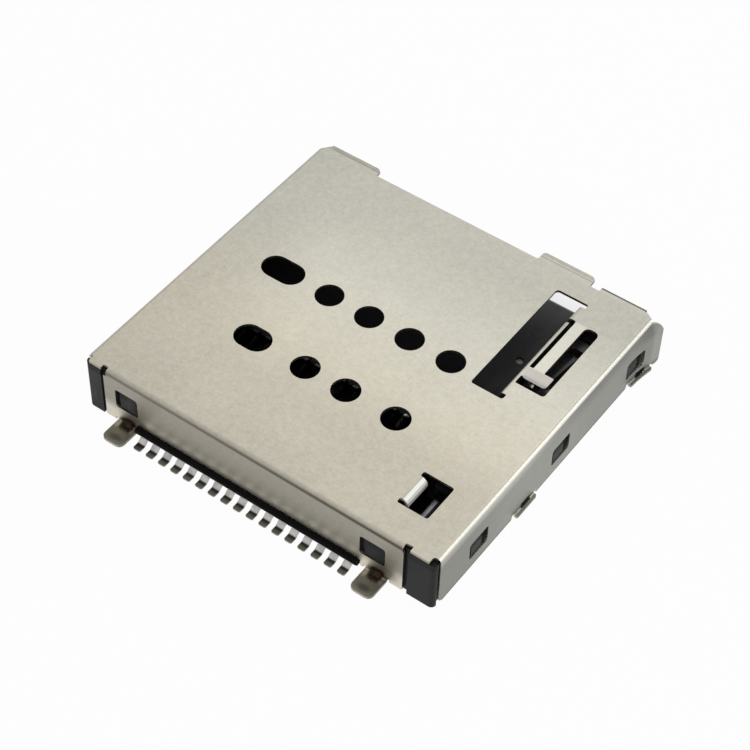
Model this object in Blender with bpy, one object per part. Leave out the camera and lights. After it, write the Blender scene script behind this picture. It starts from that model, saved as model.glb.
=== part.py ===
"""Game card slot: a board-mounted push-push socket for small game cards.

The steel cover is one flat blank, folded down round a moulded housing. Spring contacts lie side
by side in grooves of the housing floor. A slider with a heart-shaped cam track, a wire link and
a coil spring stand in a bay along the right-hand side. The card goes in from +Y.

The drawing is in millimetres: X from the left wall, Y from the front flange and Z from the
board. Objects are made in metres, round the middle of the part's footprint.
"""
import math
from collections import namedtuple

import bmesh
import bpy
from mathutils import Matrix, Vector

MM = 0.001
TINY = 0.0001
FAR = 1000.0

# Contacts
CONTACTS = 17
PITCH = 1.5
FIRST_CONTACT_X = 7.5
CONTACT_WIDTH = 0.85
CONTACT_TIP_WIDTH = 0.6
CONTACT_SHEET = 0.2
CONTACT_RUN_Z = 0.5
CONTACT_PEAK = 3.5
CONTACT_PEAK_Y = 14.4
TAIL_REACH = 1.8
LAST_CONTACT_X = FIRST_CONTACT_X + PITCH * (CONTACTS - 1)

# Card channel, slider bay and the body round them
DIVIDER_X = LAST_CONTACT_X + 2.2
BAY_WIDTH = 6.8
WIDTH = DIVIDER_X + BAY_WIDTH
HEIGHT = 6.5
NOTCH_FLOOR = 36.99
REAR_FACE = 37.7
LEFT_LIP = (1.1, 7.25)
LEFT_LIP_END = 37.94
RIGHT_LIP = (DIVIDER_X - 6.7, DIVIDER_X - 0.6)
RIGHT_LIP_END = 38.15

# Cover sheet, walls and feet
SHEET = 0.3
BEND_RADIUS = 0.15
OUTER_RADIUS = BEND_RADIUS + SHEET
WALL_FRONT = 0.8
WALL_BOTTOM = 0.2
LEFT_WALL_REAR = 37.3
RIGHT_WALL_REAR = 37.8
FLARE = 0.7
FLARE_START = 33.5
FLARE_FALL = 1.2
TAB_REACH = 2.6
FOOT_REACH = 0.35
FOOT_CORNER = 0.2
FEET = ((13.1, 16.4), (33.3, 36.6))
TABS = ((3.8, 6.2), (DIVIDER_X - 0.7, DIVIDER_X + 1.7))

# Vents, as one middle or two ends, and windows in the walls with their heights
VENT_DIAMETER = 2.95
REAR_VENT_Y = 20.5
FRONT_VENT_Y = 11.64
REAR_VENTS = ((5.55, 10.3), (13.59,), (18.35,), (23.13,), (27.9,))
FRONT_VENTS = ((9.12, 13.12), (17.37,), (22.11,), (27.85,))
SIDE_WINDOWS = ((5.55, 8.5), (19.2, 22.2), (32.55, 35.5))
SIDE_WINDOW_LEVELS = (1.4, 3.6)
FLANGE_WINDOWS = ((3.7, 6.4, 2.15, 4.55), (DIVIDER_X - 1.4, DIVIDER_X + 1.4, 2.05, 4.5))

# Housing
FLOOR_TOP = 1.5
HOUSING_TOP = HEIGHT - SHEET - 0.1
FLOOR_REAR = REAR_FACE - 0.1
FRONT_WALL_BACK = 1.6
BAY_RIGHT = WIDTH - 1.5
SEAT_GAP = 0.05

# Push-push drive
TRAVEL = 5.5
SLIDER_BOTTOM = FLOOR_TOP + 0.1
SLIDER_TOP = 5.2
SLIDER_FRONT = FRONT_WALL_BACK + TRAVEL + 1.1
SLIDER_LENGTH = 23.1
SLIDER_REAR = SLIDER_FRONT + SLIDER_LENGTH
SHOULDER_Y = SLIDER_FRONT + 6.8
WIRE = 0.6
LINK_LENGTH = 9.6
LINK_SWING = 0.6
LINK_Z = SLIDER_TOP + WIRE / 2 + 0.1
PIVOT = (DIVIDER_X + 1.6, SLIDER_REAR + 1.5)
TRACK_DEPTH = 0.9
TRACK_WIDTH = 0.8
TRACK_FLOOR = SLIDER_TOP - TRACK_DEPTH
SPRING_X = DIVIDER_X + 4.0
SPRING_Z = 3.4
SPRING_DIAMETER = 2.2
SPRING_WIRE = 0.3
SPRING_TURNS = 12
GUIDE_X = DIVIDER_X + 1.9
GUIDE_Z = 4.2
GUIDE_DIAMETER = 1.0
GUIDE_TIP = SLIDER_FRONT - 0.55

# Values that follow from the driving ones
MIDDLE_Y = (RIGHT_LIP_END - TAB_REACH) / 2
BEND_LENGTH = math.pi / 2 * (BEND_RADIUS + SHEET / 2)
BEND_ALLOWANCE = 2 * OUTER_RADIUS - BEND_LENGTH
FOOT_BEND_Z = OUTER_RADIUS
PLATE_INSIDE = HEIGHT - SHEET

ALONG_X = Matrix(((0, 0, 1, 0), (1, 0, 0, 0), (0, 1, 0, 0), (0, 0, 0, 1)))
ALONG_Y = Matrix(((1, 0, 0, 0), (0, 0, 1, 0), (0, 1, 0, 0), (0, 0, 0, 1)))
ALONG_Z = Matrix.Identity(4)


def flare_reach(y):
    """How far the rear end of the right wall stands out, as a guide for the card's edge."""
    past = min(max((y - FLARE_START) / (RIGHT_WALL_REAR - FLARE_START), 0), 1)
    return FLARE * past ** 1.5


WIDEST = max(FLARE, FOOT_REACH + flare_reach(FEET[-1][1] - FOOT_CORNER))
MIDDLE_X = (WIDTH + WIDEST - FOOT_REACH) / 2


def clear_scene():
    for old in list(bpy.data.objects):
        bpy.data.objects.remove(old, do_unlink=True)


def make_root():
    """The drawing's corner, placed so that the part's footprint is centred on the world origin."""
    root = bpy.data.objects.new("drawing_corner", None)
    root.location = (-MIDDLE_X * MM, -MIDDLE_Y * MM, 0)
    bpy.context.collection.objects.link(root)
    return root


def make_material(name, colour, roughness, metallic):
    material = bpy.data.materials.new(name)
    material.use_nodes = True
    shader = material.node_tree.nodes["Principled BSDF"]
    shader.inputs["Base Color"].default_value = (*colour, 1)
    shader.inputs["Roughness"].default_value = roughness
    shader.inputs["Metallic"].default_value = metallic
    return material


def place(name, data, material, pivot=(0, 0, 0)):
    thing = bpy.data.objects.new(name, data)
    thing.location = Vector(pivot) * MM
    thing.parent = ROOT
    if material:
        data.materials.append(material)
    bpy.context.collection.objects.link(thing)
    return thing


def make_solid(name, drawing, material=None, pivot=(0, 0, 0), smooth=None):
    """Turns a drawing in millimetres into an object in metres with its origin at the pivot."""
    bmesh.ops.recalc_face_normals(drawing, faces=drawing.faces)
    bmesh.ops.translate(drawing, verts=drawing.verts, vec=-Vector(pivot))
    bmesh.ops.scale(drawing, verts=drawing.verts, vec=(MM, MM, MM))
    mesh = bpy.data.meshes.new(name)
    drawing.to_mesh(mesh)
    drawing.free()
    if smooth:
        mesh.shade_smooth()
        mesh.set_sharp_from_angle(angle=math.radians(smooth))
    return place(name, mesh, material, pivot)


def combine(target, operation, tool):
    """Adds a Boolean modifier to the target. The tool itself is only a guide."""
    modifier = target.modifiers.new(tool.name, "BOOLEAN")
    modifier.operation = operation
    modifier.object = tool
    modifier.solver = "EXACT"
    tool.hide_render = True
    tool.display_type = "WIRE"


def outline(corners, steps=3):
    """Points of a closed outline whose corners are (x, y) or, where rounded, (x, y, radius)."""
    points = []
    for i, corner in enumerate(corners):
        here = Vector(corner[:2])
        if len(corner) == 2:
            points.append(here)
            continue
        to_before = (Vector(corners[i - 1][:2]) - here).normalized()
        to_after = (Vector(corners[(i + 1) % len(corners)][:2]) - here).normalized()
        half = to_before.angle(to_after) / 2
        centre = here + (to_before + to_after).normalized() * corner[2] / math.sin(half)
        start = here + to_before * corner[2] / math.tan(half) - centre
        end = here + to_after * corner[2] / math.tan(half) - centre
        first = math.atan2(start.y, start.x)
        turn = (math.atan2(end.y, end.x) - first + math.pi) % math.tau - math.pi
        for k in range(steps + 1):
            angle = first + turn * k / steps
            points.append(centre + corner[2] * Vector((math.cos(angle), math.sin(angle))))
    return [p for i, p in enumerate(points) if (p - points[i - 1]).length > TINY]


def rectangle(x0, x1, y0, y1, radius=None):
    corners = ((x0, y0), (x1, y0), (x1, y1), (x0, y1))
    return outline([(*c, radius) for c in corners] if radius else corners)


def circle(x, y, diameter, sides=24):
    angles = [math.tau * k / sides for k in range(sides)]
    return [Vector((x, y)) + diameter / 2 * Vector((math.cos(a), math.sin(a))) for a in angles]


def obround(x0, x1, y, diameter):
    reach = diameter / 2 - TINY
    return outline([(x0, y - reach, reach), (x1, y - reach, reach),
                    (x1, y + reach, reach), (x0, y + reach, reach)], steps=6)


def prism(drawing, points, low, high, along=ALONG_Z):
    """Extrudes a closed outline between two levels along an axis."""
    face = drawing.faces.new([drawing.verts.new(along @ Vector((*p, low))) for p in points])
    grown = bmesh.ops.extrude_face_region(drawing, geom=[face])["geom"]
    moved = [v for v in grown if isinstance(v, bmesh.types.BMVert)]
    bmesh.ops.translate(drawing, verts=moved, vec=along.to_3x3() @ Vector((0, 0, high - low)))
    return moved


def box(drawing, x0, x1, y0, y1, z0, z1):
    return prism(drawing, rectangle(x0, x1, y0, y1), z0, z1)


# The cover: where things lie on the flat blank

def flat_left(z):
    return BEND_ALLOWANCE - (HEIGHT - z)


def flat_right(z):
    return WIDTH - BEND_ALLOWANCE + (HEIGHT - z)


def flat_front(z):
    return BEND_ALLOWANCE - (HEIGHT - z)


def flat_rear(z):
    return REAR_FACE - BEND_ALLOWANCE + (HEIGHT - z)


FOOT_RELIEF = 0.4
FOOT_LEGS = (1.05, 0.75)
FOOT_OPENING_TOP = 0.9
TAB_RELIEF = 0.25
TAB_OPENING_TOP = 0.95
RELIEF_Z = FOOT_BEND_Z + 0.1
TAB_TIP = flat_front(FOOT_BEND_Z) - BEND_LENGTH - (TAB_REACH - BEND_RADIUS)
TAB_CORNER = 0.6
LEG_WIDTH = 0.6
FLANGE = (2.35, WIDTH - 3.45)
FLANGE_BEND = (2.7, WIDTH - 3.55)
FLANGE_MIDDLE = (6.2, DIVIDER_X - 1.3)
FLANGE_MIDDLE_Z = 1.08
FLANGE_CORNER = 0.2
FLANGE_END_Z = 0.2
LEFT_PLATE_LIP = (0.6, 2.1)
RIGHT_PLATE_LIP = (WIDTH - 2.8, WIDTH - 0.75)
LIP_FRONT = 0.05
RELIEF_DEPTH = 0.55
LIP_CORNER = 0.45
LIP_CURL = 0.55
WALL_SHOULDER = 36.6
REAR_FLANGE = (DIVIDER_X + 0.5, WIDTH - 1.3)
REAR_FLANGE_Z = 2.0
REAR_RELIEF_Y = REAR_FACE - OUTER_RADIUS - 0.05
REAR_NOTCH_Y = 36.9

# Cut-outs over the slider bay
SLOT_LEFT = DIVIDER_X - 2.9
SLOT_Y = (19.5, 34.6)
SLOT_RELIEF = DIVIDER_X + 0.7
FLAP_KERF = 0.2
FLAP_RADIUS = 0.1
FLAP_START = DIVIDER_X + FLAP_RADIUS + SHEET
FLAP_TIP = SLOT_LEFT + FLAP_KERF
FLAP_A = (20.2, 31.5)
FLAP_B = (32.1, 34.0)
BEAM = (DIVIDER_X + 0.9, DIVIDER_X + 2.1)
HEAD = (DIVIDER_X + 0.45, DIVIDER_X + 3.2)
HEAD_Y = (23.1, 24.5)
HEAD_CURL = 0.4
LINK_SLOT_RIGHT = DIVIDER_X + 3.65
LINK_SLOT_Y = (22.0, 32.0)
STOP_FLAP = (4.4, 7.5)
STOP_FLAP_RADIUS = 0.45
STOP_FLAP_START = DIVIDER_X - 0.05
SMALL_WINDOW = (STOP_FLAP_START - 0.1, DIVIDER_X + 3.2, 3.8, 8.1)
STOP_FLAP_TIP = SMALL_WINDOW[1] - FLAP_KERF


def foot_outline(flat, sign, upward):
    """The feet along one side wall, as corners in the order in which the outline meets them."""
    corners = []
    for low, high in FEET if upward else reversed(FEET):
        near, far = (low, high) if upward else (high, low)
        step = FOOT_RELIEF if upward else -FOOT_RELIEF
        tip = flat(FOOT_BEND_Z) + sign * (BEND_LENGTH + FOOT_REACH - BEND_RADIUS)
        corners += [(flat(WALL_BOTTOM), near - step), (flat(RELIEF_Z), near - step),
                    (flat(RELIEF_Z), near), (tip, near, FOOT_CORNER), (tip, far, FOOT_CORNER),
                    (flat(RELIEF_Z), far), (flat(RELIEF_Z), far + step),
                    (flat(WALL_BOTTOM), far + step)]
    return corners


def tab_outline(low, high):
    top = flat_front(RELIEF_Z)
    return [(low - TAB_RELIEF, top), (low, top), (low, TAB_TIP, TAB_CORNER),
            (high, TAB_TIP, TAB_CORNER), (high, top), (high + TAB_RELIEF, top)]


def blank_outline():
    """Outer edge of the flat blank, anticlockwise from the front flange's left corner."""
    end = flat_front(FLANGE_END_Z)
    middle = flat_front(FLANGE_MIDDLE_Z)
    neck = -BEND_ALLOWANCE
    corners = [(FLANGE[0], end, 0.1), (TABS[0][0] - TAB_RELIEF, end)]
    corners += tab_outline(*TABS[0])[:4]
    corners += [(FLANGE_MIDDLE[0], middle), (FLANGE_MIDDLE[1], middle, FLANGE_CORNER),
                (FLANGE_MIDDLE[1], end), (TABS[1][0] - TAB_RELIEF, end)]
    corners += tab_outline(*TABS[1])
    corners += [(TABS[1][1] + TAB_RELIEF, end), (FLANGE[1], end, 0.1), (FLANGE[1], neck),
                (FLANGE_BEND[1], neck + 0.1), (FLANGE_BEND[1], RELIEF_DEPTH, 0.1),
                (RIGHT_PLATE_LIP[0], RELIEF_DEPTH + 0.1, 0.15), (RIGHT_PLATE_LIP[0], LIP_FRONT),
                (RIGHT_PLATE_LIP[1], LIP_FRONT, 0.1), (RIGHT_PLATE_LIP[1], WALL_FRONT, 0.25),
                (flat_right(WALL_BOTTOM), WALL_FRONT, 0.6)]
    corners += foot_outline(flat_right, 1, True)
    corners += [(flat_right(WALL_BOTTOM), RIGHT_WALL_REAR, 0.5),
                (flat_right(5.4), RIGHT_WALL_REAR, 0.8), (flat_right(6.1), WALL_SHOULDER),
                (REAR_FLANGE[1] + 0.3, REAR_RELIEF_Y), (REAR_FLANGE[1], REAR_RELIEF_Y),
                (REAR_FLANGE[1], flat_rear(REAR_FLANGE_Z), 0.3),
                (REAR_FLANGE[0], flat_rear(REAR_FLANGE_Z), 0.3),
                (REAR_FLANGE[0], REAR_NOTCH_Y, 0.1), (RIGHT_LIP[1], REAR_NOTCH_Y, 0.1),
                (RIGHT_LIP[1], RIGHT_LIP_END, LIP_CORNER),
                (RIGHT_LIP[0], RIGHT_LIP_END, LIP_CORNER), (RIGHT_LIP[0], NOTCH_FLOOR, 0.2),
                (LEFT_LIP[1], NOTCH_FLOOR, 0.2), (LEFT_LIP[1], LEFT_LIP_END, LIP_CORNER),
                (LEFT_LIP[0], LEFT_LIP_END, LIP_CORNER), (flat_left(6.1), WALL_SHOULDER),
                (flat_left(5.7), LEFT_WALL_REAR, 0.3),
                (flat_left(WALL_BOTTOM), LEFT_WALL_REAR, 0.4)]
    corners += foot_outline(flat_left, -1, False)
    corners += [(flat_left(WALL_BOTTOM), WALL_FRONT, 0.6), (LEFT_PLATE_LIP[0], WALL_FRONT, 0.15),
                (LEFT_PLATE_LIP[0], LIP_FRONT, 0.1), (LEFT_PLATE_LIP[1], LIP_FRONT),
                (LEFT_PLATE_LIP[1], RELIEF_DEPTH, 0.1),
                (FLANGE_BEND[0], RELIEF_DEPTH, 0.1), (FLANGE_BEND[0], neck + 0.1),
                (FLANGE[0], neck)]
    return outline(corners)


def divider_cut():
    """The long slot, the kerf round both divider flaps and the slot left of the spring beam."""
    return outline([
        (SLOT_LEFT, SLOT_Y[0], 0.3), (SLOT_LEFT, SLOT_Y[1], 0.35), (SLOT_RELIEF, SLOT_Y[1], 0.2),
        (SLOT_RELIEF, FLAP_B[1], 0.15), (FLAP_TIP, FLAP_B[1], 0.3), (FLAP_TIP, FLAP_B[0], 0.3),
        (BEAM[0], FLAP_B[0], 0.25), (BEAM[0], HEAD_Y[1], 0.1), (HEAD[0], HEAD_Y[1], 0.1),
        (HEAD[0], FLAP_A[1], 0.1), (FLAP_TIP, FLAP_A[1], 0.3), (FLAP_TIP, FLAP_A[0], 0.3),
        (SLOT_RELIEF, FLAP_A[0], 0.1), (SLOT_RELIEF, SLOT_Y[0], 0.3)])


def link_cut():
    """The slot right of the spring beam and in front of its head, over the cam track."""
    return outline([
        (BEAM[1], HEAD_Y[1], 0.1), (BEAM[1], LINK_SLOT_Y[1], 0.6),
        (LINK_SLOT_RIGHT, LINK_SLOT_Y[1], 0.6), (LINK_SLOT_RIGHT, LINK_SLOT_Y[0], 0.3),
        (HEAD[0], LINK_SLOT_Y[0], 0.1), (HEAD[0], HEAD_Y[0], 0.1),
        (HEAD[1], HEAD_Y[0], 0.35), (HEAD[1], HEAD_Y[1], 0.1)])


def small_window_cut():
    left, right, near, far = SMALL_WINDOW
    return outline([
        (left, near, 0.2), (right, near, 0.25), (right, far, 0.25), (left, far, 0.2),
        (left, STOP_FLAP[1], 0.15), (STOP_FLAP_TIP - 0.7, STOP_FLAP[1]),
        (STOP_FLAP_TIP, STOP_FLAP[1] - 0.9), (STOP_FLAP_TIP, STOP_FLAP[0], 0.2),
        (left, STOP_FLAP[0], 0.15)])


def foot_openings():
    return [(low + FOOT_LEGS[0], high - FOOT_LEGS[1]) for low, high in FEET]


def blank_cuts():
    cuts = [divider_cut(), link_cut(), small_window_cut()]
    for row, y in ((REAR_VENTS, REAR_VENT_Y), (FRONT_VENTS, FRONT_VENT_Y)):
        for vent in row:
            if len(vent) == 2:
                cuts.append(obround(*vent, y, VENT_DIAMETER))
            else:
                cuts.append(circle(*vent, y, VENT_DIAMETER))
    for left, right, bottom, top in FLANGE_WINDOWS:
        cuts.append(rectangle(left, right, flat_front(bottom), flat_front(top), 0.3))
    bottom, top = SIDE_WINDOW_LEVELS
    for near, far in SIDE_WINDOWS:
        cuts.append(rectangle(flat_right(top), flat_right(bottom), near, far, 0.3))
        cuts.append(rectangle(flat_left(bottom), flat_left(top), near, far, 0.3))
    for low, high in TABS:
        opening = high - low - 2 * LEG_WIDTH
        cuts.append(rectangle(low + LEG_WIDTH, high - LEG_WIDTH,
                              flat_front(FOOT_BEND_Z) - BEND_LENGTH - 0.15,
                              flat_front(TAB_OPENING_TOP), opening * 0.15))
    for near, far in foot_openings():
        below = BEND_LENGTH * 0.85
        cuts.append(rectangle(flat_right(FOOT_OPENING_TOP), flat_right(FOOT_BEND_Z) + below,
                              near, far, 0.15))
        cuts.append(rectangle(flat_left(FOOT_BEND_Z) - below, flat_left(FOOT_OPENING_TOP),
                              near, far, 0.15))
    return cuts


# The cover: folding

Fold = namedtuple("Fold", "axis sign start reach low high radius angle upward steps")


def fold(axis, sign, start, radius=BEND_RADIUS, reach=FAR, low=-FAR, high=FAR,
         angle=90, upward=False, steps=3):
    return Fold(axis, sign, start, reach, low, high, radius, math.radians(angle), upward, steps)


def cover_folds():
    """Every bend of the blank, the outermost ones first."""
    folds = []
    for low, high in TABS:
        folds.append(fold(1, -1, flat_front(FOOT_BEND_Z), low=low, high=high, upward=True))
    for low, high in FEET:
        folds.append(fold(0, 1, flat_right(FOOT_BEND_Z), low=low, high=high, upward=True))
        folds.append(fold(0, -1, flat_left(FOOT_BEND_Z), low=low, high=high, upward=True))
    for (low, high), end in ((LEFT_LIP, LEFT_LIP_END), (RIGHT_LIP, RIGHT_LIP_END)):
        folds.append(fold(1, 1, end - LIP_CURL, radius=0.5, low=low, high=high,
                          angle=22, upward=True, steps=2))
    for low, high in (FLAP_A, FLAP_B):
        folds.append(fold(0, -1, FLAP_START, radius=FLAP_RADIUS,
                          reach=FLAP_START - FLAP_TIP, low=low, high=high))
    folds.append(fold(0, 1, STOP_FLAP_START, radius=STOP_FLAP_RADIUS,
                      reach=STOP_FLAP_TIP - STOP_FLAP_START, low=STOP_FLAP[0],
                      high=STOP_FLAP[1], steps=4))
    folds.append(fold(1, -1, HEAD_Y[0] + HEAD_CURL, radius=0.35, reach=HEAD_CURL + FLAP_KERF,
                      low=HEAD[0] + HEAD_CURL, high=HEAD[1], angle=35, steps=2))
    folds.append(fold(1, -1, OUTER_RADIUS, low=FLANGE[0], high=FLANGE[1], steps=4))
    folds.append(fold(1, 1, REAR_FACE - OUTER_RADIUS, low=REAR_FLANGE[0], high=REAR_FLANGE[1]))
    folds.append(fold(0, 1, WIDTH - OUTER_RADIUS, steps=4))
    folds.append(fold(0, -1, OUTER_RADIUS, steps=4))
    return folds


def bend_length(bend):
    return bend.angle * (bend.radius + SHEET / 2)


def is_past(bend, point):
    """Whether a point of the flat blank belongs to the sheet that a bend moves."""
    past = bend.sign * (point[bend.axis] - bend.start)
    across = point[1 - bend.axis]
    return (-TINY < past < bend.reach + TINY
            and bend.low - TINY < across < bend.high + TINY)


def crease(blank, axis, level, belongs):
    """Cuts the faces that have a corner in a region along a straight line."""
    faces = [f for f in blank.faces if any(belongs(v.co) for v in f.verts)]
    parts = set(faces) | {e for f in faces for e in f.edges} | {v for f in faces for v in f.verts}
    normal = Vector((0, 0, 0))
    normal[axis] = 1
    bmesh.ops.bisect_plane(blank, geom=list(parts), dist=TINY / 10, plane_co=normal * level,
                           plane_no=normal)


def bend_point(bend, flat, here):
    """Carries a point through one bend. The flat point tells how far along the bend it is."""
    length = bend_length(bend)
    past = bend.sign * (flat[bend.axis] - bend.start)
    turned = bend.angle * min(max(past / length, 0), 1)
    rest = max(bend.sign * (here[bend.axis] - bend.start) - length, 0) if past > length else 0
    side = 1 if bend.upward else -1
    centre = bend.radius if bend.upward else -(SHEET + bend.radius)
    arm = abs(centre) - side * (here.z - HEIGHT)
    along = arm * math.sin(turned) + rest * math.cos(turned)
    rise = centre - side * arm * math.cos(turned) + side * rest * math.sin(turned)
    bent = here.copy()
    bent[bend.axis] = bend.start + bend.sign * along
    bent.z = HEIGHT + rise
    return bent


def flare(flat, here):
    """Opens the rear end of the right wall outwards, more and more below the top bend."""
    down = min(max((HEIGHT - here.z - OUTER_RADIUS) / FLARE_FALL, 0), 1)
    return here + Vector((flare_reach(flat.y) * down, 0, 0))


def make_cover(material):
    """Draws the flat blank with all its cuts, thickens it and folds it."""
    blank = bmesh.new()
    for points in [blank_outline(), *blank_cuts()]:
        corners = [blank.verts.new((p.x, p.y, PLATE_INSIDE)) for p in points]
        for i, corner in enumerate(corners):
            blank.edges.new((corners[i - 1], corner))
    bmesh.ops.triangle_fill(blank, edges=blank.edges[:], use_beauty=True, normal=(0, 0, 1))

    folds = cover_folds()
    for bend in folds:
        for k in range(bend.steps + 1):
            level = bend.start + bend.sign * bend_length(bend) * k / bend.steps
            crease(blank, bend.axis, level, lambda p: is_past(bend, p))
    crease(blank, 0, HEAD[0] + HEAD_CURL, lambda p: HEAD[0] < p.x < HEAD[1]
           and HEAD_Y[0] - TINY < p.y < HEAD_Y[0] + HEAD_CURL)
    wall = WIDTH - OUTER_RADIUS + BEND_LENGTH
    for k in range(5):
        level = FLARE_START + (RIGHT_WALL_REAR - FLARE_START) * k / 5
        crease(blank, 1, level, lambda p: p.x > wall - TINY)
    crease(blank, 0, wall + FLARE_FALL, lambda p: p.x > wall - TINY and p.y > FLARE_START)

    grown = bmesh.ops.extrude_face_region(blank, geom=blank.faces[:])["geom"]
    top = [v for v in grown if isinstance(v, bmesh.types.BMVert)]
    bmesh.ops.translate(blank, verts=top, vec=(0, 0, SHEET))
    for corner in blank.verts:
        flat = corner.co.copy()
        for bend in folds:
            if is_past(bend, flat):
                corner.co = bend_point(bend, flat, corner.co)
        if flat.x > wall - TINY:
            corner.co = flare(flat, corner.co)
    bmesh.ops.triangulate(blank, faces=blank.faces[:])
    return make_solid("shell_cover", blank, material, smooth=35)


# The housing

COLUMN = (0.1, WIDTH - 0.1)
COLUMN_FRONT = 0.05
COLUMN_BACK = 0.6
COLUMN_ROUND = 0.5
COLUMN_GAPS = (0.35, 0.45)
SILL_FRONT = -0.52
SILL_HEEL = -0.13
SILL_CHAMFER_TOP = 0.54
FRONT_FACE = SHEET + 0.1
SIDE_GAP = 0.05
INSIDE = (SHEET + SIDE_GAP, WIDTH - SHEET - SIDE_GAP)
SKIRT_FACE = 0.02
NUB_FACE = 0.04
RAIL_REAR = LEFT_WALL_REAR - 1.0
LEFT_RAIL = INSIDE[0] + 0.25
LEFT_RAIL_TOP = 3.6
RIGHT_RAIL_TOP = 5.6
RIB = (DIVIDER_X + 0.05, DIVIDER_X + 0.45)
RIB_FRONT = 10.5
RIB_TOP = 3.2
LINK_BLOCK = (SLIDER_REAR + 0.3, SLIDER_REAR + 5.2)
LINK_BLOCK_TOP = SLIDER_TOP
GROOVE_REAR = CONTACT_PEAK_Y + 1.6
EJECTOR_HOLE = (DIVIDER_X - 2.85, 28.55)
EJECTOR_HOLE_DIAMETER = 0.9
EJECTOR_POCKET_DIAMETER = 4.2
EJECTOR_WEB = 0.3
GROOVE_FLOOR = CONTACT_RUN_Z - CONTACT_SHEET / 2 - SEAT_GAP
POST_DIAMETER = 1.4
POST_LENGTH = 2.0
PIVOT_HOLE_FLOOR = 3.0
BOSS_STAND_OFF = 0.1


def contact_x(index):
    return FIRST_CONTACT_X + PITCH * index


def make_floor():
    drawing = bmesh.new()
    prism(drawing, outline([(FRONT_FACE, 0), (FLOOR_REAR, 0), (FLOOR_REAR, FLOOR_TOP - 0.4),
                            (FLOOR_REAR - 0.5, FLOOR_TOP), (FRONT_FACE, FLOOR_TOP)]),
          *INSIDE, ALONG_X)
    return drawing


def front_frame():
    """The front wall's outer skin, which shows as two corner columns with rounded edges."""
    drawing = bmesh.new()
    left, right = COLUMN
    plan = outline([(left, COLUMN_FRONT, COLUMN_ROUND), (right, COLUMN_FRONT, COLUMN_ROUND),
                    (right, COLUMN_BACK), (left, COLUMN_BACK)], steps=5)
    prism(drawing, plan, 0, HOUSING_TOP)
    return drawing


def front_sill():
    """The ledge under the front flange that the contact tails come out of. Its lower edge is
    chamfered, so that the tails can drop to the board."""
    drawing = bmesh.new()
    top, root = FLANGE_MIDDLE_Z - SEAT_GAP, FRONT_FACE + 0.2
    profile = [(root, 0), (SILL_HEEL, 0), (SILL_FRONT, SILL_CHAMFER_TOP), (SILL_FRONT, top),
               (root, top)]
    prism(drawing, outline(profile), FLANGE_MIDDLE[0] + SEAT_GAP,
          FLANGE_MIDDLE[1] - FLANGE_CORNER, ALONG_X)
    return drawing


def skirt_and_nubs():
    """The strips under the side walls between the feet, and the nubs in the feet and tabs."""
    drawing = bmesh.new()
    apart = FOOT_RELIEF + SEAT_GAP
    stretches = [(WALL_FRONT + 0.6, FEET[0][0] - apart), (FEET[0][1] + apart, FEET[1][0] - apart)]
    for near, far in stretches:
        top = WALL_BOTTOM - SEAT_GAP
        box(drawing, SKIRT_FACE, INSIDE[0] + 0.2, near, far, 0, top)
        box(drawing, INSIDE[1] - 0.2, WIDTH - SKIRT_FACE, near, far, 0, top)
    for near, far in foot_openings():
        top = FOOT_OPENING_TOP - 2 * SEAT_GAP
        near, far = near + SEAT_GAP, far - SEAT_GAP
        box(drawing, NUB_FACE, INSIDE[0] + 0.2, near, far, 0, top)
        box(drawing, INSIDE[1] - 0.2, WIDTH - NUB_FACE, near, far, 0, top)
    for low, high in TABS:
        margin = LEG_WIDTH + SEAT_GAP
        box(drawing, low + margin, high - margin, -BEND_RADIUS - SEAT_GAP, FRONT_FACE + 0.2,
            0, TAB_OPENING_TOP - 2 * SEAT_GAP)
    return drawing


def side_bosses():
    """Latch wedges that fill the windows of the cover's side walls."""
    drawing = bmesh.new()
    bottom, top = SIDE_WINDOW_LEVELS
    for near, far in SIDE_WINDOWS:
        for face, root in ((WIDTH - BOSS_STAND_OFF, INSIDE[1] - 0.2),
                           (BOSS_STAND_OFF, INSIDE[0] + 0.2)):
            wedge = [(root, bottom + 0.15), (face, bottom + 0.15), (face, top - 0.9),
                     (root + (face - root) * 0.6, top - 0.15), (root, top - 0.15)]
            prism(drawing, wedge, near + 0.35, far - 0.3, ALONG_Y)
    return drawing


def front_bosses():
    drawing = bmesh.new()
    for left, right, bottom, top in FLANGE_WINDOWS:
        wedge = [(FRONT_FACE + 0.2, bottom + 0.15), (BOSS_STAND_OFF, bottom + 0.15),
                 (BOSS_STAND_OFF, top - 0.9), (BOSS_STAND_OFF + 0.15, top - 0.15),
                 (FRONT_FACE + 0.2, top - 0.15)]
        prism(drawing, wedge, left + 0.5, right - 0.15, ALONG_X)
    return drawing


def contact_channels(low, high, near, far):
    drawing = bmesh.new()
    half = CONTACT_WIDTH / 2 + SEAT_GAP
    for index in range(CONTACTS):
        x = contact_x(index)
        box(drawing, x - half, x + half, near, far, low, high)
    return drawing


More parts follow.
